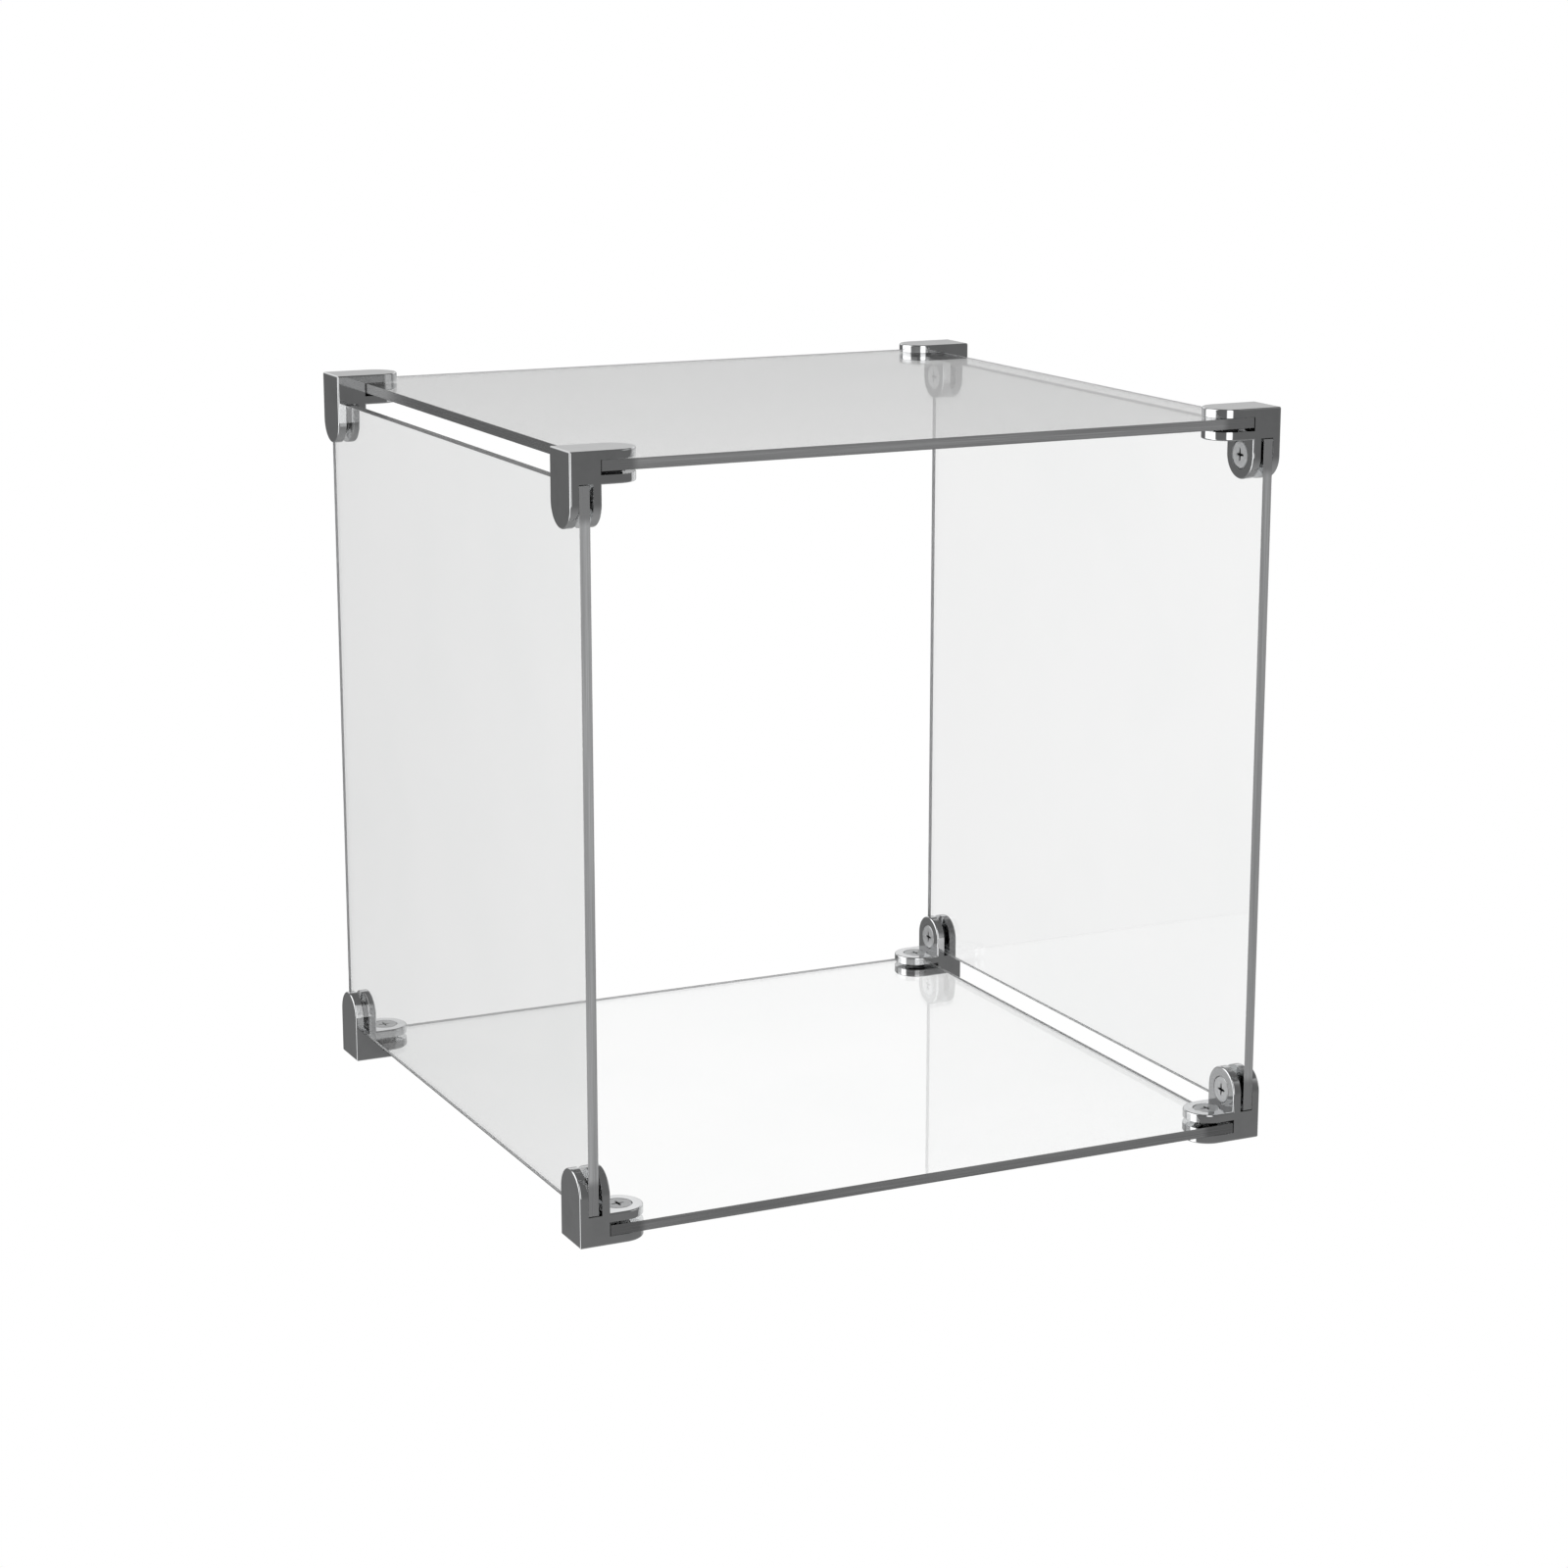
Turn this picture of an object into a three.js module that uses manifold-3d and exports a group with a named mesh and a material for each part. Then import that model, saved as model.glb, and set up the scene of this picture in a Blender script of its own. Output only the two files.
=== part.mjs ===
// Acrylic display cube: four clear square panels, open at the front and the back, held at their corners by
// eight identical two-way clamps. Millimetres, +Z up, front towards -Y, origin on the resting plane below
// the centre.
import * as THREE from "three";
import { mergeVertices } from "three/addons/utils/BufferGeometryUtils.js";
import Module from "manifold-3d";

// Driving dimensions.
const PANEL_SIDE = 200;
const PANEL_THICKNESS = 3;
const PANEL_EDGE_BEVEL = 0.2;

const JAW_THICKNESS = 2.5; // both jaws of a clamp arm
const SLOT_WIDTH = 4; // between the jaws: the panel, and the pad that presses on it
const SLOT_FLOOR = 8.7; // from the clamp's outer face to the end of its slot
const ARM_LENGTH = 21; // from the outer corner to the rounded tip
const CLAMP_WIDTH = 14; // along the cube's depth
const CLAMP_BEVEL = 0.45;

const SCREW_DIAMETER = 8;
const SCREW_FROM_CORNER = ARM_LENGTH - CLAMP_WIDTH / 2; // concentric with the rounded tip
const SCREW_BEVEL = 0.25;
const RECESS_DEPTH = 1.6;
const RECESS_SPAN = 3.8; // across two opposite wings at the screw's face
const RECESS_FLOOR_SPAN = 1.4; // the same at the bottom of the recess
const RECESS_WING = 0.95;

const PAD_DIAMETER = 7;

const EDGE_GAP = 0.3; // panel edge to slot floor
const FACE_GAP = 0.05; // between faces that rest on each other
const THREAD_GAP = 0.1; // screw to the wall of its hole, on the radius

const ARC_STEPS = 12; // of a half circle
const ROUND_STEPS = 24; // of a full circle

// Worked out from them.
const ARM_THICKNESS = JAW_THICKNESS + SLOT_WIDTH + JAW_THICKNESS;
const EDGE_INSET = SLOT_FLOOR + EDGE_GAP; // panel edge from the clamps' outer faces
const CUBE_SIDE = PANEL_SIDE + 2 * EDGE_INSET; // width and height over the clamps
const PANEL_INSET = JAW_THICKNESS + FACE_GAP; // panel face from the clamps' outer faces
const INNER_JAW = JAW_THICKNESS + SLOT_WIDTH; // slot side of the inner jaw
const PAD_THICKNESS = INNER_JAW - PANEL_INSET - PANEL_THICKNESS - 2 * FACE_GAP;
const PAD_BASE = PANEL_INSET + PANEL_THICKNESS + FACE_GAP;
const RIGHT_ANGLE = Math.PI / 2;

const wasm = await Module();
wasm.setup();

// A closed geometry as a manifold solid.
function toSolid(geometry) {
  const bare = geometry.clone();
  bare.deleteAttribute("normal");
  bare.deleteAttribute("uv");
  const merged = mergeVertices(bare, 1e-4);
  return new wasm.Manifold(
    new wasm.Mesh({
      numProp: 3,
      vertProperties: merged.attributes.position.array,
      triVerts: new Uint32Array(merged.index.array),
    }),
  );
}

// A manifold solid back as a geometry, with flat faces.
function toGeometry(solid) {
  const mesh = solid.getMesh();
  const indexed = new THREE.BufferGeometry();
  indexed.setAttribute("position", new THREE.BufferAttribute(mesh.vertProperties, 3));
  indexed.setIndex(new THREE.BufferAttribute(mesh.triVerts, 1));
  const flat = indexed.toNonIndexed();
  flat.computeVertexNormals();
  return flat;
}

function boxFrom(low, high) {
  const size = high.map((value, i) => value - low[i]);
  const middle = high.map((value, i) => (value + low[i]) / 2);
  return new THREE.BoxGeometry(...size).translate(...middle);
}

// A flat outline as a plate from z = 0 to z = thickness, with a bevel round both faces.
function bevelledPlate(shape, thickness, bevel, curveSegments = ARC_STEPS) {
  const plate = new THREE.ExtrudeGeometry(shape, {
    depth: thickness - 2 * bevel,
    bevelEnabled: true,
    bevelThickness: bevel,
    bevelSize: bevel,
    bevelOffset: -bevel,
    bevelSegments: 1,
    curveSegments,
  });
  return plate.translate(0, 0, bevel);
}

// The outline of one arm seen square to its jaws: straight at the corner block, a half circle at the tip.
function armOutline() {
  const radius = CLAMP_WIDTH / 2;
  const outline = new THREE.Shape();
  outline.moveTo(0, -radius);
  outline.lineTo(ARM_LENGTH - radius, -radius);
  outline.absarc(ARM_LENGTH - radius, 0, radius, -RIGHT_ANGLE, RIGHT_ANGLE, false);
  outline.lineTo(0, radius);
  outline.closePath();
  return outline;
}

// The outline of the whole clamp seen from the front: two arms at a right angle, before the slots are cut.
function clampProfile() {
  const profile = new THREE.Shape();
  profile.moveTo(0, 0);
  profile.lineTo(ARM_LENGTH, 0);
  profile.lineTo(ARM_LENGTH, ARM_THICKNESS);
  profile.lineTo(ARM_THICKNESS, ARM_THICKNESS);
  profile.lineTo(ARM_THICKNESS, ARM_LENGTH);
  profile.lineTo(0, ARM_LENGTH);
  profile.closePath();
  return profile;
}

// Geometry of the arm along +X, turned into its twin along +Z by swapping the two axes.
function swapXZ(geometry) {
  const swap = new THREE.Matrix4().set(0, 0, 1, 0, 0, -1, 0, 0, 1, 0, 0, 0, 0, 0, 0, 1);
  return geometry.clone().applyMatrix4(swap);
}

// One clamp, its outer corner at x = z = 0, its arms along +X and +Z, centred on y = 0.
function clampGeometry() {
  const armPlate = bevelledPlate(armOutline(), ARM_THICKNESS, CLAMP_BEVEL);
  const arms = toSolid(armPlate).add(toSolid(swapXZ(armPlate)));

  const profile = bevelledPlate(clampProfile(), CLAMP_WIDTH, CLAMP_BEVEL);
  profile.rotateX(RIGHT_ANGLE).translate(0, CLAMP_WIDTH / 2, 0);

  const reach = CLAMP_WIDTH; // past the clamp on both sides
  const slot = boxFrom([SLOT_FLOOR, -reach, JAW_THICKNESS], [ARM_LENGTH + reach, reach, INNER_JAW]);

  const holeRadius = SCREW_DIAMETER / 2 + THREAD_GAP;
  const hole = new THREE.CylinderGeometry(holeRadius, holeRadius, SLOT_WIDTH + JAW_THICKNESS, ROUND_STEPS);
  hole.rotateX(RIGHT_ANGLE).translate(SCREW_FROM_CORNER, 0, INNER_JAW + JAW_THICKNESS / 2);

  let clamp = arms.intersect(toSolid(profile));
  for (const cutter of [slot, hole]) {
    clamp = clamp.subtract(toSolid(cutter)).subtract(toSolid(swapXZ(cutter)));
  }
  return toGeometry(clamp);
}

// Cutter for the two wings of a cross recess, pointing down from z = 0.
function crossRecess() {
  const overshoot = 0.2;
  const slope = (RECESS_SPAN - RECESS_FLOOR_SPAN) / 2 / RECESS_DEPTH;
  const top = RECESS_SPAN / 2 + slope * overshoot;
  const wingShape = new THREE.Shape();
  wingShape.moveTo(-RECESS_FLOOR_SPAN / 2, -RECESS_DEPTH);
  wingShape.lineTo(RECESS_FLOOR_SPAN / 2, -RECESS_DEPTH);
  wingShape.lineTo(top, overshoot);
  wingShape.lineTo(-top, overshoot);
  wingShape.closePath();
  const wing = new THREE.ExtrudeGeometry(wingShape, { depth: RECESS_WING, bevelEnabled: false });
  wing.translate(0, 0, -RECESS_WING / 2).rotateX(RIGHT_ANGLE);
  return toSolid(wing).add(toSolid(wing.clone().rotateZ(RIGHT_ANGLE)));
}

// The clamp screw: a short threaded disc as deep as the jaw, its driven face at z = 0 and its tip below.
function screwGeometry() {
  const radius = SCREW_DIAMETER / 2;
  const profile = [
    new THREE.Vector2(0, -JAW_THICKNESS),
    new THREE.Vector2(radius - SCREW_BEVEL, -JAW_THICKNESS),
    new THREE.Vector2(radius, SCREW_BEVEL - JAW_THICKNESS),
    new THREE.Vector2(radius, -SCREW_BEVEL),
    new THREE.Vector2(radius - SCREW_BEVEL, 0),
    new THREE.Vector2(0, 0),
  ];
  const disc = new THREE.LatheGeometry(profile, ROUND_STEPS).rotateX(RIGHT_ANGLE);
  return toGeometry(toSolid(disc).subtract(crossRecess()));
}

// The rubber disc between a screw's tip and the panel, from z = 0 up.
function padGeometry() {
  const radius = PAD_DIAMETER / 2;
  const pad = new THREE.CylinderGeometry(radius, radius, PAD_THICKNESS, ROUND_STEPS);
  return pad.rotateX(RIGHT_ANGLE).translate(0, 0, PAD_THICKNESS / 2);
}

// A square panel centred on the origin, its thickness along z.
function panelGeometry() {
  const half = PANEL_SIDE / 2;
  const outline = new THREE.Shape();
  outline.moveTo(-half, -half);
  outline.lineTo(half, -half);
  outline.lineTo(half, half);
  outline.lineTo(-half, half);
  outline.closePath();
  const panel = bevelledPlate(outline, PANEL_THICKNESS, PANEL_EDGE_BEVEL);
  return panel.translate(0, 0, -PANEL_THICKNESS / 2);
}

const CLEAR_ACRYLIC = new THREE.MeshStandardMaterial({
  color: 0xe8eaea,
  roughness: 0.05,
  metalness: 0,
  transparent: true,
  opacity: 0.2,
});
const POLISHED_CHROME = new THREE.MeshStandardMaterial({ color: 0xb4b6b8, roughness: 0.08, metalness: 1 });
const SATIN_STEEL = new THREE.MeshStandardMaterial({ color: 0xa6a8aa, roughness: 0.25, metalness: 1 });
const BLACK_RUBBER = new THREE.MeshStandardMaterial({ color: 0x1c1c1d, roughness: 0.8, metalness: 0 });

function named(name, geometry, material) {
  const mesh = new THREE.Mesh(geometry, material);
  mesh.name = name;
  return mesh;
}

const PANEL_MIDDLE = PANEL_INSET + PANEL_THICKNESS / 2; // panel's middle plane from the clamps' outer faces

function buildPanels() {
  const geometry = panelGeometry();
  const half = CUBE_SIDE / 2;
  const placed = [
    ["bottom_panel", 0, PANEL_MIDDLE, false],
    ["top_panel", 0, CUBE_SIDE - PANEL_MIDDLE, false],
    ["left_panel", PANEL_MIDDLE - half, half, true],
    ["right_panel", half - PANEL_MIDDLE, half, true],
  ];
  return placed.map(([name, x, z, upright]) => {
    const panel = named(name, geometry, CLEAR_ACRYLIC);
    panel.position.set(x, 0, z);
    panel.rotation.y = upright ? RIGHT_ANGLE : 0;
    return panel;
  });
}

// A screw and its pad, standing square to the jaws of the arm along +X.
function buildGrip(arm, place) {
  const grip = new THREE.Group();
  const pad = named(`pad_${place}_${arm}`, PAD, BLACK_RUBBER);
  pad.position.z = PAD_BASE;
  const screw = named(`screw_${place}_${arm}`, SCREW, SATIN_STEEL);
  screw.position.z = ARM_THICKNESS;
  grip.add(pad, screw);
  grip.position.x = SCREW_FROM_CORNER;
  return grip;
}

// One clamp with its two screws and pads, its outer corner at the group's origin.
// The level arm holds the top or bottom panel and the upright arm a side panel.
function buildClamp(place, turns) {
  const clamp = new THREE.Group();
  clamp.add(named(`clamp_${place}`, CLAMP, POLISHED_CHROME));

  const alongX = buildGrip(turns % 2 ? "upright" : "level", place);
  const alongZ = new THREE.Group();
  alongZ.add(buildGrip(turns % 2 ? "level" : "upright", place));
  alongZ.rotation.set(0, RIGHT_ANGLE, Math.PI); // X onto Z and Z onto X
  clamp.add(alongX, alongZ);

  clamp.rotation.y = turns * RIGHT_ANGLE;
  return clamp;
}

const CLAMP = clampGeometry();
const SCREW = screwGeometry();
const PAD = padGeometry();

// Corners in the order that quarter turns about Y bring a clamp's arms to.
const CORNERS = [
  ["bottom_left", -1, 0],
  ["top_left", -1, 1],
  ["top_right", 1, 1],
  ["bottom_right", 1, 0],
];

const displayCube = new THREE.Group();
displayCube.name = "display_cube";
displayCube.add(...buildPanels());
CORNERS.forEach(([corner, side, level], turns) => {
  for (const [end, direction] of [["front", -1], ["back", 1]]) {
    const clamp = buildClamp(`${corner}_${end}`, turns);
    clamp.position.set(
      (side * CUBE_SIDE) / 2,
      (direction * (PANEL_SIDE - CLAMP_WIDTH)) / 2,
      level * CUBE_SIDE,
    );
    displayCube.add(clamp);
  }
});

export default displayCube;
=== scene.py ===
"""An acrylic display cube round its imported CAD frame: four clear panels in eight polished clamps.

Everything is in metres in the frame of the CAD. The outlines of the clamps, screws and pads are
drawn in millimetres, as a maker would, and each mesh is scaled once when it is done.
"""
import math

import bmesh
import bpy
from mathutils import Matrix, Vector


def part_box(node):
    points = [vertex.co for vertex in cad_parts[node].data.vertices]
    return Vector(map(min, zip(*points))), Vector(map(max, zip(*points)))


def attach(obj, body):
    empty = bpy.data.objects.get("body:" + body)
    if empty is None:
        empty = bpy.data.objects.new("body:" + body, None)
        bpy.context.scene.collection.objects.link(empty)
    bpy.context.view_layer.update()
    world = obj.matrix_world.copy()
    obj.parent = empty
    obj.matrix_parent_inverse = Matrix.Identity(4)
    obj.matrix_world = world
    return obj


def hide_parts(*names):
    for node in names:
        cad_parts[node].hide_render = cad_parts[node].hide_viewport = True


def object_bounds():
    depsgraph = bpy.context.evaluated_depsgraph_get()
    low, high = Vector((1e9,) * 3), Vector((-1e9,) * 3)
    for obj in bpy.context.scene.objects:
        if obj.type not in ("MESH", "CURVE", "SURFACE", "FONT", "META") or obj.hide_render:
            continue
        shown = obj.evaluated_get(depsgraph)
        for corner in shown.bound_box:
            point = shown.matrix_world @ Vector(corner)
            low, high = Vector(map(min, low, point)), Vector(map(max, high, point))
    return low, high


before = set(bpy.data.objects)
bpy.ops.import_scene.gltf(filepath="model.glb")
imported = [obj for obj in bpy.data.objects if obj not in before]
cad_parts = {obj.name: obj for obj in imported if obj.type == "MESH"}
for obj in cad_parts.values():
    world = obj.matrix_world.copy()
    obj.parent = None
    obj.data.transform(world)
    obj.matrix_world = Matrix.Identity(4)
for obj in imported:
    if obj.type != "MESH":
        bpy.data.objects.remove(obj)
cad_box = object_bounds()

MM = 0.001
RIGHT_ANGLE = math.pi / 2


def node_size(node):
    """Size of a CAD node's box, in millimetres."""
    low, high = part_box(node)
    return (high - low) / MM


# Sizes in millimetres, from the frame where the frame has them.

CLAMP_SIZE = node_size("clamp_bottom_left_front")
SCREW_SIZE = node_size("screw_bottom_left_front_level")
PAD_SIZE = node_size("pad_bottom_left_front_level")
PANEL_SIZE = node_size("bottom_panel")

ARM_LENGTH = CLAMP_SIZE.x
CLAMP_WIDTH = CLAMP_SIZE.y
JAW = SCREW_SIZE.z  # both jaws are as thick as the screw is long
SLOT_WIDTH = 4.0
SLOT_FLOOR = 8.7
ARM_THICKNESS = JAW + SLOT_WIDTH + JAW
TIP_RADIUS = CLAMP_WIDTH / 2
TIP_CENTRE = ARM_LENGTH - TIP_RADIUS
RIM_FILLET = 0.45
SLOT_EDGE = 0.12  # broken edge along the slots and round the screw holes

SCREW_RADIUS = SCREW_SIZE.x / 2
SCREW_EDGE = 0.25
THREAD_PITCH = 0.75
THREAD_DEPTH = 0.42
THREAD_START = 0.35  # below each face of the jaw and of the screw
THREAD_RUN_IN = 0.3  # further depth at which the thread is full
THREAD_ROOT = 0.15  # flat part of the root, as a share of half a pitch
THREAD_FLANK = 0.7  # the flank, likewise
HOLE_RADIUS = SCREW_RADIUS + 0.1
HOLE_OVERRUN = 2 * SLOT_EDGE  # of the hole's cutter past the jaw's face
RECESS_DEPTH = 1.5
RECESS_SPAN = 3.8  # across two opposite wings at the screw's face
RECESS_FLOOR_SPAN = 1.3  # the same at the bottom of the recess
RECESS_WING = 0.95  # a wing's width in the middle of the screw
RECESS_TIP = 0.45  # a wing's width at its end
RECESS_CONE = 0.6  # radius of the middle at the screw's face
RECESS_POINT = 0.25  # depth of the middle below the wings' floor
RECESS_OVERRUN = 0.2  # of the recess's cutters past the screw's face
RECESS_EDGE = 0.06

PAD_RADIUS = PAD_SIZE.x / 2
PAD_EDGE = 0.15
PAD_DISH_RADIUS = 2.3
PAD_DISH_DEPTH = 0.12
PAD_DISH_WALL = 0.2  # how far the dish's side runs out

PANEL_SIDE = PANEL_SIZE.x
PANEL_THICKNESS = PANEL_SIZE.z
PANEL_EDGE = 0.12

FILLET_STEPS = 5
PAD_FILLET_STEPS = 3
BROKEN_EDGE_STEPS = 2
ARC_STEPS = 40  # of a half circle
ROUND_STEPS = 72  # of a full circle
CONE_STEPS = 24
THREAD_STEPS = 8  # of one pitch
NEAR = 1e-3  # two places this close are the same
SHARP = math.radians(40)  # an outside edge turning more than this is broken
SMOOTH = math.radians(35)  # an edge turning less than this is shaded smooth


# Mesh making.


def grid_faces(bm, rings, closed=True):
    """Quads between each ring of vertices and the next."""
    faces = []
    for one, other in zip(rings, rings[1:]):
        count = len(one)
        for i in range(count if closed else count - 1):
            j = (i + 1) % count
            faces.append(bm.faces.new((one[i], one[j], other[j], other[i])))
    return faces


def quarter(steps=FILLET_STEPS):
    """(inset, rise) of a unit fillet, from the face inwards and down to the wall."""
    angles = [RIGHT_ANGLE * k / steps for k in range(steps + 1)]
    return [(1 - math.sin(a), 1 - math.cos(a)) for a in angles]


def plate_levels(thickness, fillet):
    """(inset, height) of the rings of a plate with both rims rounded, from its lower face up."""
    lower = [(fillet * inset, fillet * rise) for inset, rise in quarter()]
    upper = [(inset, thickness - height) for inset, height in reversed(lower)]
    return lower + upper


def ring_at(bm, z, radii):
    """A ring of vertices round the z axis, one for each radius."""
    ring = []
    for k, radius in enumerate(radii):
        angle = 2 * math.pi * k / len(radii)
        ring.append(bm.verts.new((radius * math.cos(angle), radius * math.sin(angle), z)))
    return ring


def closed_skin(bm, rings):
    """The wall through all rings, and a face on the first and on the last."""
    grid_faces(bm, rings)
    bm.faces.new(rings[0])
    bm.faces.new(rings[-1])


def clean(bm, reach=1e-4):
    bmesh.ops.remove_doubles(bm, verts=bm.verts, dist=reach)
    bmesh.ops.dissolve_degenerate(bm, edges=bm.edges, dist=reach)
    bmesh.ops.recalc_face_normals(bm, faces=bm.faces)


def to_mesh(bm, name):
    mesh = bpy.data.meshes.new(name)
    bm.to_mesh(mesh)
    bm.free()
    return mesh


def carved(base, tool):
    """The mesh that is left of a base when a tool's shape is cut from it."""
    block = bpy.data.objects.new("block", base)
    cutter = bpy.data.objects.new("cutter", tool)
    for thing in (block, cutter):
        bpy.context.scene.collection.objects.link(thing)
    cut = block.modifiers.new("cut", "BOOLEAN")
    cut.operation = "DIFFERENCE"
    cut.object = cutter
    cut.solver = "EXACT"
    graph = bpy.context.evaluated_depsgraph_get()
    result = bpy.data.meshes.new_from_object(block.evaluated_get(graph))
    for thing in (block, cutter):
        bpy.data.objects.remove(thing)
    return result


def break_edges(mesh, width, chosen):
    """Rounds the sharp outside edges that chosen picks by their two ends."""
    bm = bmesh.new()
    bm.from_mesh(mesh)
    clean(bm, 1e-5)
    sharp = [
        edge
        for edge in bm.edges
        if len(edge.link_faces) == 2
        and edge.calc_face_angle_signed() > SHARP
        and chosen(edge.verts[0].co, edge.verts[1].co)
    ]
    bmesh.ops.bevel(
        bm,
        geom=sharp,
        offset=width,
        segments=BROKEN_EDGE_STEPS,
        profile=0.5,
        affect="EDGES",
        clamp_overlap=True,
    )
    clean(bm)
    bm.to_mesh(mesh)
    bm.free()
    return mesh


# Clamp.


def clamp_profile(inset):
    """The two arms from the front, as (x, z), cut square where the rounded tips begin."""
    radius = RIM_FILLET - inset
    corner = []
    for k in range(FILLET_STEPS + 1):
        angle = math.pi + RIGHT_ANGLE * k / FILLET_STEPS
        corner.append((RIM_FILLET + radius * math.cos(angle), RIM_FILLET + radius * math.sin(angle)))
    return corner + [
        (TIP_CENTRE, inset),
        (TIP_CENTRE, ARM_THICKNESS - inset),
        (ARM_THICKNESS - inset, ARM_THICKNESS - inset),
        (ARM_THICKNESS - inset, TIP_CENTRE),
        (inset, TIP_CENTRE),
    ]


def add_corner_block(bm):
    rings = []
    for inset, y in plate_levels(CLAMP_WIDTH, RIM_FILLET):
        rings.append([bm.verts.new((x, y - TIP_RADIUS, z)) for x, z in clamp_profile(inset)])
    bm.faces.new(rings[0])
    bm.faces.new(rings[-1])
    open_ends = (FILLET_STEPS + 1, FILLET_STEPS + 4)  # outline edges that the tips carry on from
    count = len(rings[0])
    for one, other in zip(rings, rings[1:]):
        for i in range(count):
            if i not in open_ends:
                j = (i + 1) % count
                bm.faces.new((one[i], one[j], other[j], other[i]))


def add_tip(bm, place):
    """The half round end of the arm along X, put in place by a matrix."""
    rings = []
    for inset, z in plate_levels(ARM_THICKNESS, RIM_FILLET):
        radius = TIP_RADIUS - inset
        ring = []
        for k in range(ARC_STEPS + 1):
            angle = math.pi * k / ARC_STEPS - RIGHT_ANGLE
            point = Vector((TIP_CENTRE + radius * math.cos(angle), radius * math.sin(angle), z))
            ring.append(bm.verts.new(place @ point))
        rings.append(ring)
    grid_faces(bm, rings, closed=False)
    bm.faces.new(rings[0])
    bm.faces.new(rings[-1])


# Turns the arm along X into the arm along Z.
UPRIGHT_ARM = Matrix.Rotation(RIGHT_ANGLE, 4, "Y") @ Matrix.Rotation(math.pi, 4, "Z")


def block_mesh(low, high):
    """A box between two corners."""
    bm = bmesh.new()
    bmesh.ops.create_cube(bm, size=1)
    for vert in bm.verts:
        for axis in range(3):
            vert.co[axis] = high[axis] if vert.co[axis] > 0 else low[axis]
    return to_mesh(bm, "slot_cutter")


def thread_ridge(turns):
    """Height of a thread's ridge from 0 at the root to 1 at the crest, along its pitch."""
    wave = abs((turns % 1) * 2 - 1)
    return min(1, max(0, (wave - THREAD_ROOT) / THREAD_FLANK))


def threaded_rod(length, radius_at):
    """A closed rod from z = 0 down to -length, its radius given by depth and turn."""
    bm = bmesh.new()
    steps = round(length / THREAD_PITCH * THREAD_STEPS)
    rings = []
    for level in range(steps + 1):
        depth = length * level / steps
        radii = [radius_at(depth, k / ROUND_STEPS) for k in range(ROUND_STEPS)]
        rings.append(ring_at(bm, -depth, radii))
    closed_skin(bm, rings)
    clean(bm)
    return to_mesh(bm, "threaded_rod")


def hole_radius(depth, turn):
    """Of the tapped hole's cutter: plain at the jaw's two faces and threaded between them."""
    into_jaw = depth - HOLE_OVERRUN
    past_start = min(into_jaw, JAW - into_jaw) - THREAD_START
    fade = max(0, min(1, past_start / THREAD_RUN_IN))
    return HOLE_RADIUS + THREAD_DEPTH * fade * (1 - thread_ridge(depth / THREAD_PITCH - turn))


def clamp_mesh():
    bm = bmesh.new()
    add_corner_block(bm)
    add_tip(bm, Matrix.Identity(4))
    add_tip(bm, UPRIGHT_ARM)
    clean(bm)
    clamp = to_mesh(bm, "clamp")

    reach = CLAMP_WIDTH
    slot = block_mesh((SLOT_FLOOR, -reach, JAW), (ARM_LENGTH + reach, reach, JAW + SLOT_WIDTH))
    hole = threaded_rod(JAW + SLOT_WIDTH / 2, hole_radius)
    hole.transform(Matrix.Translation((TIP_CENTRE, 0, ARM_THICKNESS + HOLE_OVERRUN)))
    for tool in (slot, hole):
        clamp = carved(clamp, tool)
        twin = tool.copy()
        twin.transform(UPRIGHT_ARM)
        clamp = carved(clamp, twin)

    def on_slot_wall(one, other):
        """Whether an edge lies in a wall of one of the two slots."""
        walls = (JAW, JAW + SLOT_WIDTH)
        for along, across in ((0, 2), (2, 0)):
            in_wall = any(abs(one[across] - wall) < NEAR for wall in walls)
            if in_wall and one[along] > SLOT_FLOOR - NEAR and abs(other[across] - one[across]) < NEAR:
                return True
        return False

    return break_edges(clamp, SLOT_EDGE, on_slot_wall)


# Screw and pad.


def screw_radius(depth, turn):
    """Of the clamp screw: a thread between two broken edges."""
    to_end = min(depth, JAW - depth)
    edge = SCREW_RADIUS - max(0, SCREW_EDGE - to_end)
    fade = max(0, min(1, (to_end - THREAD_START) / THREAD_RUN_IN))
    thread = SCREW_RADIUS - THREAD_DEPTH * fade * (1 - thread_ridge(depth / THREAD_PITCH - turn))
    return min(edge, thread)


def recess_wing():
    """One blade of the cross recess, widest in the middle and tapering down and outwards."""
    slope = (RECESS_SPAN - RECESS_FLOOR_SPAN) / RECESS_DEPTH
    tip, middle = RECESS_TIP / 2, RECESS_WING / 2
    plan = ((-1, -tip), (0, -middle), (1, -tip), (1, tip), (0, middle), (-1, tip))
    bm = bmesh.new()
    rings = []
    for z in (RECESS_OVERRUN, -RECESS_DEPTH):
        span = RECESS_SPAN + slope * z
        rings.append([bm.verts.new((span / 2 * x, y, z)) for x, y in plan])
    closed_skin(bm, rings)
    clean(bm)
    return to_mesh(bm, "recess_wing")


def recess_cone():
    """The middle of the cross recess, with a pointed floor."""
    levels = (
        (RECESS_OVERRUN, RECESS_CONE),
        (-RECESS_DEPTH, RECESS_CONE / 2),
        (-RECESS_DEPTH - RECESS_POINT, 0.02),
    )
    bm = bmesh.new()
    closed_skin(bm, [ring_at(bm, z, [radius] * CONE_STEPS) for z, radius in levels])
    clean(bm)
    cone = to_mesh(bm, "recess_cone")
    cone.transform(Matrix.Rotation(math.pi / CONE_STEPS, 4, "Z"))  # no corner lies on a wing's axis
    return cone


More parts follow.
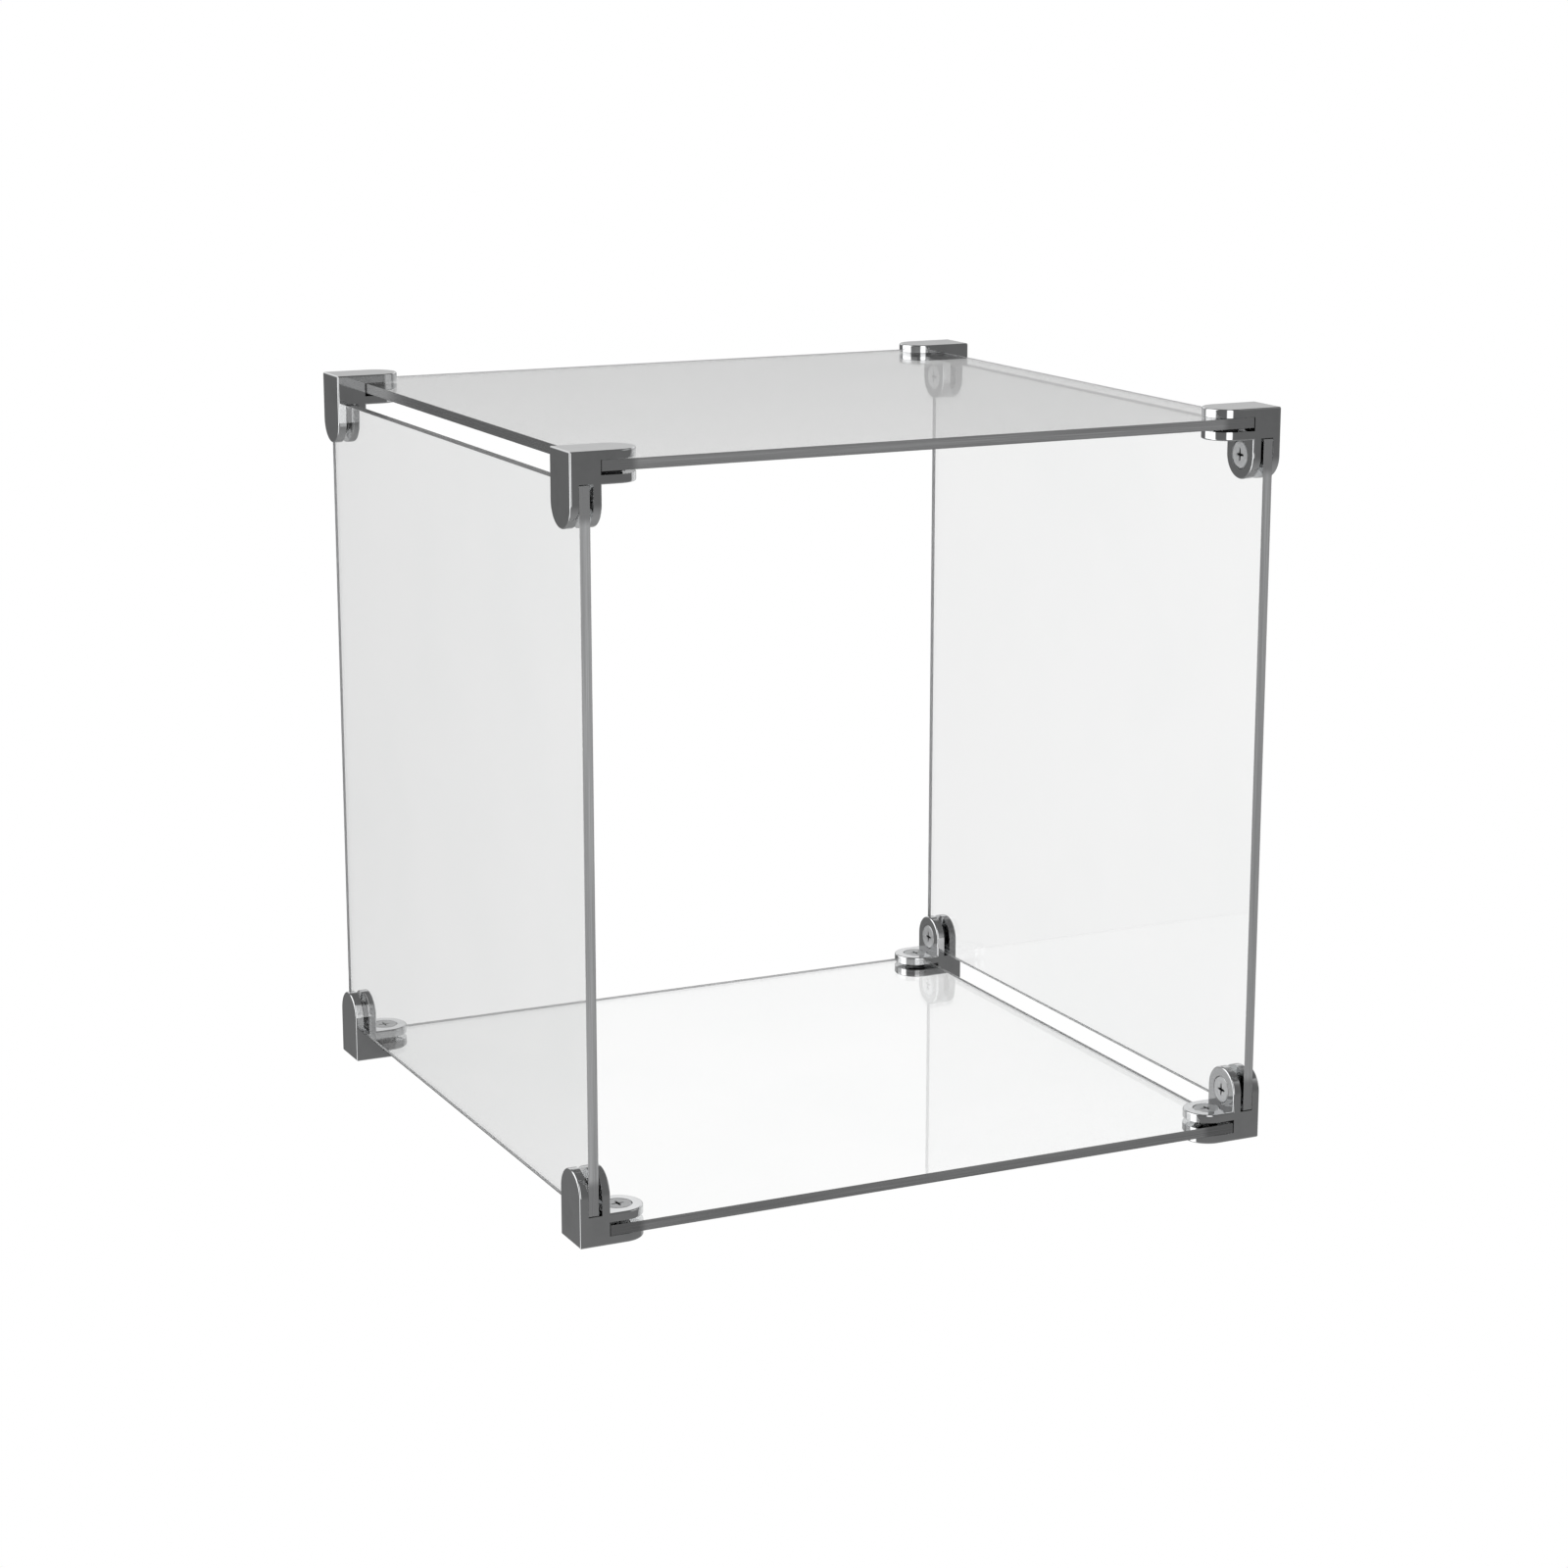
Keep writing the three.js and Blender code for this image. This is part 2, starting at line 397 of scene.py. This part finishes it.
def screw_mesh():
    screw = threaded_rod(JAW, screw_radius)
    across = recess_wing()
    along = across.copy()
    along.transform(Matrix.Rotation(RIGHT_ANGLE, 4, "Z"))
    for tool in (recess_cone(), across, along):
        screw = carved(screw, tool)
    reach = RECESS_SPAN / 2 + RECESS_OVERRUN

    def on_recess_rim(*ends):
        return all(abs(end.z) < NEAR and math.hypot(end.x, end.y) < reach for end in ends)

    return break_edges(screw, RECESS_EDGE, on_recess_rim)


def pad_mesh():
    """A rubber disc with soft edges and a shallow dish on each face, from z = 0 up."""
    outline = [
        (0.0, PAD_DISH_DEPTH),
        (PAD_DISH_RADIUS, PAD_DISH_DEPTH),
        (PAD_DISH_RADIUS + PAD_DISH_WALL, 0.0),
    ]
    for inset, rise in quarter(PAD_FILLET_STEPS):
        outline.append((PAD_RADIUS - PAD_EDGE * inset, PAD_EDGE * rise))
    outline += [(radius, PAD_SIZE.z - height) for radius, height in reversed(outline)]
    bm = bmesh.new()
    grid_faces(bm, [ring_at(bm, height, [radius] * ROUND_STEPS) for radius, height in outline])
    clean(bm)
    return to_mesh(bm, "pad")


def panel_mesh():
    """A square panel centred on the origin, thickness along z: faces in slot 0, edges in slot 1."""
    bm = bmesh.new()
    rings = []
    for inset, height in plate_levels(PANEL_THICKNESS, PANEL_EDGE):
        half = PANEL_SIDE / 2 - inset
        corners = ((-half, -half), (half, -half), (half, half), (-half, half))
        rings.append([bm.verts.new((x, y, height - PANEL_THICKNESS / 2)) for x, y in corners])
    for side in grid_faces(bm, rings):
        side.material_index = 1
    bm.faces.new(rings[0])
    bm.faces.new(rings[-1])
    bmesh.ops.recalc_face_normals(bm, faces=bm.faces)
    return to_mesh(bm, "panel")


# Finishes.


class Level:
    """One output of a shader node. Arithmetic on it adds Math nodes."""

    def __init__(self, finish, socket):
        self.finish = finish
        self.socket = socket

    def _math(self, operation, one, other):
        return self.finish.node("ShaderNodeMath", {"operation": operation}, {0: one, 1: other})

    def __add__(self, other):
        return self._math("ADD", self, other)

    def __radd__(self, other):
        return self._math("ADD", other, self)

    def __sub__(self, other):
        return self._math("SUBTRACT", self, other)

    def __rsub__(self, other):
        return self._math("SUBTRACT", other, self)

    def __mul__(self, other):
        return self._math("MULTIPLY", self, other)

    def __rmul__(self, other):
        return self._math("MULTIPLY", other, self)


class Finish:
    """A shader tree for a material or for the studio's world."""

    def __init__(self, owner):
        owner.use_nodes = True
        self.owner = owner
        self.tree = owner.node_tree
        self.tree.nodes.clear()

    def node(self, kind, settings=None, inputs=None, output=0):
        """Adds a node, its settings first, and gives back one output, or several for a tuple of them."""
        made = self.tree.nodes.new(kind)
        for key, value in (settings or {}).items():
            if key == "stops":
                ramp = made.color_ramp
                while len(ramp.elements) < len(value):
                    ramp.elements.new(1)
                for element, (position, tone) in zip(ramp.elements, value):
                    element.position = position
                    element.color = (tone, tone, tone, 1)
            else:
                setattr(made, key, value)
        for key, value in (inputs or {}).items():
            if isinstance(value, Level):
                self.tree.links.new(value.socket, made.inputs[key])
            else:
                made.inputs[key].default_value = value
        if isinstance(output, tuple):
            return [Level(self, made.outputs[one]) for one in output]
        return Level(self, made.outputs[output]) if made.outputs else None

    def place(self):
        return self.node("ShaderNodeTexCoord", output="Object")

    def stretched(self, scale):
        """The piece's own coordinates, multiplied axis by axis."""
        return self.node("ShaderNodeVectorMath", {"operation": "MULTIPLY"}, {0: self.place(), 1: scale})

    def coordinate(self, axis):
        return self.node("ShaderNodeSeparateXYZ", inputs={0: self.place()}, output=axis)

    def noise(self, place, detail=3.0, roughness=0.5):
        return self.node(
            "ShaderNodeTexNoise",
            {"noise_dimensions": "3D"},
            {"Vector": place, "Scale": 1.0, "Detail": detail, "Roughness": roughness},
            output="Fac",
        )

    def between(self, low, high, level):
        """A colour that goes from low to high with a level. Each is a fixed colour or another node's."""
        low, high = (end if isinstance(end, Level) else (*end, 1) for end in (low, high))
        return self.node(
            "ShaderNodeMix", {"data_type": "RGBA"}, {"Factor": level, 6: low, 7: high}, output=2
        )

    def absolute(self, level):
        return self.node("ShaderNodeMath", {"operation": "ABSOLUTE"}, {0: level})

    def span(self, level, start, stop, low=0.0, high=1.0):
        """Carries a level from start..stop to low..high, smoothly and held at both ends."""
        return self.node(
            "ShaderNodeMapRange",
            {"interpolation_type": "SMOOTHSTEP"},
            {"Value": level, "From Min": start, "From Max": stop, "To Min": low, "To Max": high},
        )

    def relief(self, height, distance, strength=1.0):
        return self.node(
            "ShaderNodeBump",
            inputs={"Height": height, "Distance": distance, "Strength": strength},
        )

    def surface(self, **sockets):
        """Ends a material with the shader whose inputs are named, and gives the material back."""
        named = {key.replace("_", " "): value for key, value in sockets.items()}
        shader = self.node("ShaderNodeBsdfPrincipled", inputs=named)
        self.node("ShaderNodeOutputMaterial", inputs={"Surface": shader})
        return self.owner


def new_finish(name):
    return Finish(bpy.data.materials.new(name))


def grey(value):
    """A grey a little to the cool side."""
    return (value, value * 1.01, value * 1.02)


# Painted shade: tone of each panel's edges from outside, set panel by panel by how light falls on that
# side. Painted light: tone of all edges seen from inside the sheet.
PAINTED_EDGE_SHADES = {"bottom": 0.12, "top": 0.15, "left": 0.235, "right": 0.22}
EDGE_PAINTED_LIGHT_INSIDE = 0.95
EDGE_SHADE_IN_CLAMP = 0.6  # share of an edge's tone that is left between the jaws, as painted shade
EDGE_STREAKS = (0.8, 1.25)  # share of an edge's tone in its darkest and lightest saw lines
SAW_LINES = 5200  # across the sheet, per metre
SAW_BANDS = 900
GRAIN_OF_RUBBER = 6000
RINGS_OF_LATHE = 42000  # radians per metre from the screw's axis


def clear_acrylic():
    """Cast sheet: water clear, with wiping haze and fine hairline scratches in its gloss."""
    finish = new_finish("clear_acrylic")
    haze = finish.noise(finish.stretched((14, 14, 14)), detail=5, roughness=0.6)
    wiped = finish.noise(finish.stretched((60, 22, 35)), detail=6, roughness=0.65)
    hairline = finish.span(finish.absolute(wiped - 0.5), 0.0, 0.006, 1.0, 0.0)
    cloud = finish.span(haze, 0.35, 0.7)
    return finish.surface(
        Base_Color=finish.between((0.996, 0.998, 0.997), (0.976, 0.982, 0.98), cloud),
        Roughness=0.004 + 0.012 * cloud + 0.03 * hairline,
        Transmission_Weight=1.0,
        IOR=1.49,
    )


def polished_edge(name, along, across, tone):
    """Sawn and polished edge of a panel: saw lines run along it; its grey is painted shade, darker still
    with painted shade in the clamps, and painted light where seen from inside the sheet.
    """
    finish = new_finish(name)
    fine = tuple(SAW_LINES if axis == across else 30 for axis in range(3))
    broad = tuple(SAW_BANDS if axis == across else 15 for axis in range(3))
    lines = finish.noise(finish.stretched(fine), detail=3, roughness=0.7)
    bands = finish.noise(finish.stretched(broad), detail=2)
    streak = finish.span(lines * 0.55 + bands * 0.45, 0.3, 0.7)
    # Painted shade: between the jaws the edge is darkened to a share of its tone.
    low, high = cad_box
    middle = (low[along] + high[along]) / 2
    free = (high[along] - low[along]) / 2 - ARM_LENGTH * MM
    from_middle = finish.absolute(finish.coordinate(along) - middle)
    clamp_shade = finish.span(from_middle, free + 0.001, free + 0.004)
    dark, light = (grey(tone * share) for share in EDGE_STREAKS)
    outside = finish.between(finish.between(dark, light, streak), grey(tone * EDGE_SHADE_IN_CLAMP), clamp_shade)
    # Painted light: seen from inside the sheet, every edge is coloured near white.
    inside = finish.node("ShaderNodeNewGeometry", output="Backfacing")
    return finish.surface(
        Base_Color=finish.between(outside, grey(EDGE_PAINTED_LIGHT_INSIDE), inside),
        Roughness=0.16 + 0.2 * lines,
        Normal=finish.relief(lines, 0.00001, 0.4),
        IOR=1.49,
    )


def polished_chrome():
    """Plated clamp: mirror bright with a trace of polishing lines and handling haze."""
    finish = new_finish("polished_chrome")
    haze = finish.noise(finish.stretched((160, 160, 160)), detail=5, roughness=0.6)
    lines = finish.noise(finish.stretched((700, 40, 1600)), detail=3, roughness=0.65)
    worn = finish.span(haze, 0.4, 0.75)
    return finish.surface(
        Base_Color=finish.between(grey(0.76), grey(0.7), worn),
        Metallic=1.0,
        Roughness=0.04 + 0.03 * worn + 0.02 * lines,
        Normal=finish.relief(lines, 0.000002, 0.1),
    )


def turned_steel():
    """Screw: satin from the lathe, with rings round its own axis, and painted shade darkening its cross
    recess.
    """
    finish = new_finish("screw_steel")
    from_axis = finish.node(
        "ShaderNodeVectorMath", {"operation": "LENGTH"}, {0: finish.stretched((1, 1, 0))}, output="Value"
    )
    wobble = finish.noise(finish.stretched((900, 900, 900)), detail=3)
    rings = finish.node(
        "ShaderNodeMath", {"operation": "SINE"}, {0: from_axis * RINGS_OF_LATHE + wobble * 5}
    )
    turned = rings * 0.5 + 0.5
    # Painted shade: the cross recess is coloured near black, as its depth would shade it.
    sunk = finish.span(finish.coordinate(2), -0.0004, -0.00005, 1.0, 0.0)
    recess_shade = sunk * finish.span(from_axis, 0.0022, 0.0026, 1.0, 0.0)
    bare = finish.between(grey(0.68), grey(0.8), wobble)
    return finish.surface(
        Base_Color=finish.between(bare, grey(0.06), recess_shade),
        Metallic=1.0,
        Roughness=0.32 + 0.1 * turned + 0.08 * wobble,
        Normal=finish.relief(turned, 0.000004, 0.5),
    )


def black_rubber():
    """Pad: matt moulded rubber with a fine grain."""
    finish = new_finish("black_rubber")
    grain = finish.noise(finish.stretched([GRAIN_OF_RUBBER] * 3), detail=4, roughness=0.7)
    bloom = finish.noise(finish.stretched((500, 500, 500)), detail=3)
    return finish.surface(
        Base_Color=finish.between((0.014, 0.014, 0.015), (0.045, 0.045, 0.046), bloom),
        Roughness=0.68 + 0.2 * grain,
        Normal=finish.relief(grain, 0.00002, 0.5),
        IOR=1.52,
    )


# Pieces.


def dressed(name, mesh, materials, place, body, node):
    """A finished piece: smooth, in place, riding its body and standing for its CAD node."""
    for material in materials:
        if material.name not in mesh.materials:
            mesh.materials.append(material)
    mesh.polygons.foreach_set("use_smooth", [True] * len(mesh.polygons))
    mesh.set_sharp_from_angle(angle=SMOOTH)
    piece = bpy.data.objects.new(name, mesh)
    bpy.context.scene.collection.objects.link(piece)
    piece.matrix_world = place
    weighted = piece.modifiers.new("flat_faces", "WEIGHTED_NORMAL")
    weighted.keep_sharp = True
    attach(piece, body)
    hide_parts(node)
    return piece


def scaled(mesh):
    mesh.transform(Matrix.Scale(MM, 4))
    return mesh


def make_panels():
    # Each panel's edge gets its own painted shade, darker or lighter by the side it is on.
    faces = clear_acrylic()
    for name, tone in PAINTED_EDGE_SHADES.items():
        node = f"{name}_panel"
        low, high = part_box(node)
        upright = name in ("left", "right")
        turn = Matrix.Rotation(RIGHT_ANGLE if upright else 0, 4, "Y")
        mesh = scaled(panel_mesh())
        mesh.transform(Matrix.Translation((low + high) / 2) @ turn)
        along, across = (2, 0) if upright else (0, 2)
        edge = polished_edge(f"{name}_panel_edge", along, across, tone)
        dressed(
            f"clear_{node}", mesh, (faces, edge), Matrix.Identity(4), "frame", node
        )


# Corners in the order of quarter turns about Y: name, side along X, and 1 for the upper ones.
CORNERS = (("bottom_left", -1, 0), ("top_left", -1, 1), ("top_right", 1, 1), ("bottom_right", 1, 0))


def make_clamps():
    chrome = polished_chrome()
    steel = turned_steel()
    rubber = black_rubber()
    clamp = scaled(clamp_mesh())
    screw = scaled(screw_mesh())
    pad = scaled(pad_mesh())
    seat = Matrix.Translation(Vector((TIP_CENTRE, 0, 0)) * MM)
    face = Matrix.Translation((0, 0, ARM_THICKNESS * MM))
    pad_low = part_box("pad_bottom_left_front_level")[0].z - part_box("clamp_bottom_left_front")[0].z
    for turns, (corner, side, level) in enumerate(CORNERS):
        for end in ("front", "back"):
            place = f"{corner}_{end}"
            low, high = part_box(f"clamp_{place}")
            outer_x = high.x if side > 0 else low.x
            outer_z = high.z if level else low.z
            outer = Vector((outer_x, (low.y + high.y) / 2, outer_z))
            stand = Matrix.Translation(outer) @ Matrix.Rotation(turns * RIGHT_ANGLE, 4, "Y")
            mesh = clamp.copy()
            mesh.transform(stand)
            dressed(
                f"corner_clamp_{place}", mesh, (chrome,), Matrix.Identity(4), "frame",
                f"clamp_{place}",
            )
            for arm in ("level", "upright"):
                along_x = (arm == "level") == (turns % 2 == 0)
                grip = stand @ (Matrix.Identity(4) if along_x else UPRIGHT_ARM) @ seat
                dressed(
                    f"clamp_screw_{place}_{arm}", screw.copy(), (steel,), grip @ face,
                    f"screw_{place}_{arm}", f"screw_{place}_{arm}",
                )
                dressed(
                    f"grip_pad_{place}_{arm}", pad.copy(), (rubber,),
                    grip @ Matrix.Translation((0, 0, pad_low)),
                    f"pad_{place}_{arm}", f"pad_{place}_{arm}",
                )


# Studio. A window of directions is (first heading, last heading, lowest, highest), in degrees.
# Heading 0 is along -X, 90 is along -Y, towards the front, and -90 is along +Y.

SOFTBOXES = ((-52, 8, -11, 50), (-23, 10, -40, -13), (62, 89, -11, 50))
SOFTBOX_GLOW = 1.5
BACK_WALL = (-175, -65, -20, 60)
BACK_WALL_GLOW = (  # by height, from 0 straight down to 1 straight up
    (0.0, 0.0),
    (0.48, 0.0),
    (0.53, 0.34),
    (0.56, 0.42),
    (0.655, 0.8),
    (0.68, 0.8),
    (0.8, 0.0),
)
RIGHT_WALL = (130, 170, 3, 35)
RIGHT_WALL_GLOW = 0.42
RIGHT_FLOOR = (-160, -110, -40, -4)
RIGHT_FLOOR_GLOW = 0.2
SURROUND_BELOW = 0.3
SURROUND_ABOVE = 0.14
SWEEP_IN_REFLECTIONS = 0.4  # brightness of the sweep where a reflection finds it through a panel

LAMPS = (("key", (-1.1, -1.9, 1.0), 60), ("fill", (1.4, 1.7, 1.2), 40))
LAMP_SIDE = 1.4
FLOOR_HALF = 60
FLOOR_DROP = 0.0002  # below the feet
CAMERA_PLACE = (-0.45065, -0.93958, 0.34304)
CAMERA_TURN = (76.761, 0, -25.640)
CAMERA_LENS = 80.99


def light_studio():
    """A white sweep, with a soft grey surround for reflections that softboxes break."""
    world = bpy.data.worlds.new("studio")
    bpy.context.scene.world = world
    studio = Finish(world)
    direction = studio.node("ShaderNodeTexCoord", output="Generated")
    x, y, z = studio.node("ShaderNodeSeparateXYZ", inputs={0: direction}, output=(0, 1, 2))
    heading = studio.node("ShaderNodeMath", {"operation": "ARCTAN2"}, {0: 0 - y, 1: 0 - x})

    def facing(window, soft=4):
        """1 within a window of directions and 0 outside, with soft sides."""
        first, last, lowest, highest = (math.radians(angle) for angle in window)
        bottom, top, edge = math.sin(lowest), math.sin(highest), math.radians(soft)
        rise = studio.span(heading, first - edge, first + edge)
        fall = studio.span(heading, last - edge, last + edge, 1.0, 0.0)
        above = studio.span(z, bottom - 0.04, bottom)
        below = studio.span(z, top, top + 0.1, 1.0, 0.0)
        return rise * fall * above * below

    by_height = studio.node("ShaderNodeValToRGB", {"stops": BACK_WALL_GLOW}, {"Fac": z * 0.5 + 0.5})
    softboxes = facing(SOFTBOXES[0]) + facing(SOFTBOXES[1]) + facing(SOFTBOXES[2])
    walls = by_height * facing(BACK_WALL, soft=15) + RIGHT_WALL_GLOW * facing(RIGHT_WALL, soft=8)
    floor = RIGHT_FLOOR_GLOW * facing(RIGHT_FLOOR, soft=10)
    surround = studio.span(z, -1, 0.0, SURROUND_BELOW, SURROUND_ABOVE)
    glow = walls + floor + SOFTBOX_GLOW * softboxes + surround
    camera_ray, through, bounces = studio.node(
        "ShaderNodeLightPath", output=("Is Camera Ray", "Is Transmission Ray", "Glossy Depth")
    )
    first_sight = studio.span(bounces, 0.4, 0.6, 1.0, 0.0)
    just_below = studio.span(z, -0.02, 0.0, 1.0, 0.0) * studio.span(z, -0.55, -0.4)
    through_panel = through * just_below * SWEEP_IN_REFLECTIONS
    reflected = glow + through_panel * (1 - softboxes)
    seen = camera_ray + through * first_sight
    both = studio.node(
        "ShaderNodeMix", {"data_type": "RGBA"}, {"Factor": seen, 6: reflected, 7: (1, 1, 1, 1)}, output=2
    )
    sky = studio.node("ShaderNodeBackground", inputs={"Color": both, "Strength": 1.0})
    studio.node("ShaderNodeOutputWorld", inputs={"Surface": sky})


def hang_light(name, position, power):
    """A square soft light that points at the middle of the cube and leaves no reflection."""
    lamp = bpy.data.lights.new(name, "AREA")
    lamp.size = LAMP_SIDE
    lamp.energy = power
    light = bpy.data.objects.new(name, lamp)
    bpy.context.scene.collection.objects.link(light)
    light.location = position
    target = (cad_box[0] + cad_box[1]) / 2
    light.rotation_euler = (target - light.location).to_track_quat("-Z", "Y").to_euler()
    light.visible_camera = False
    light.visible_glossy = False
    light.visible_transmission = False


def lay_floor():
    """A white floor that glows evenly, as an overexposed sweep does."""
    bm = bmesh.new()
    corners = ((-1, -1), (1, -1), (1, 1), (-1, 1))
    bm.faces.new([bm.verts.new((x * FLOOR_HALF, y * FLOOR_HALF, -FLOOR_DROP)) for x, y in corners])
    floor = bpy.data.objects.new("floor", to_mesh(bm, "floor"))
    bpy.context.scene.collection.objects.link(floor)
    white = new_finish("white_sweep")
    glow = white.node("ShaderNodeEmission", inputs={"Color": (1, 1, 1, 1), "Strength": 1.0})
    white.node("ShaderNodeOutputMaterial", inputs={"Surface": glow})
    floor.data.materials.append(white.owner)
    floor.visible_glossy = False
    floor.visible_transmission = False
    floor.visible_diffuse = False


def set_camera():
    data = bpy.data.cameras.new("camera")
    data.sensor_width = 36
    data.lens = CAMERA_LENS
    data.clip_start = 0.01
    data.clip_end = 200
    camera = bpy.data.objects.new("camera", data)
    bpy.context.scene.collection.objects.link(camera)
    camera.location = CAMERA_PLACE
    camera.rotation_euler = [math.radians(angle) for angle in CAMERA_TURN]
    bpy.context.scene.camera = camera


bpy.context.scene.view_settings.view_transform = "Standard"
set_camera()
light_studio()
lay_floor()
for name, position, power in LAMPS:
    hang_light(name, position, power)
make_panels()
make_clamps()
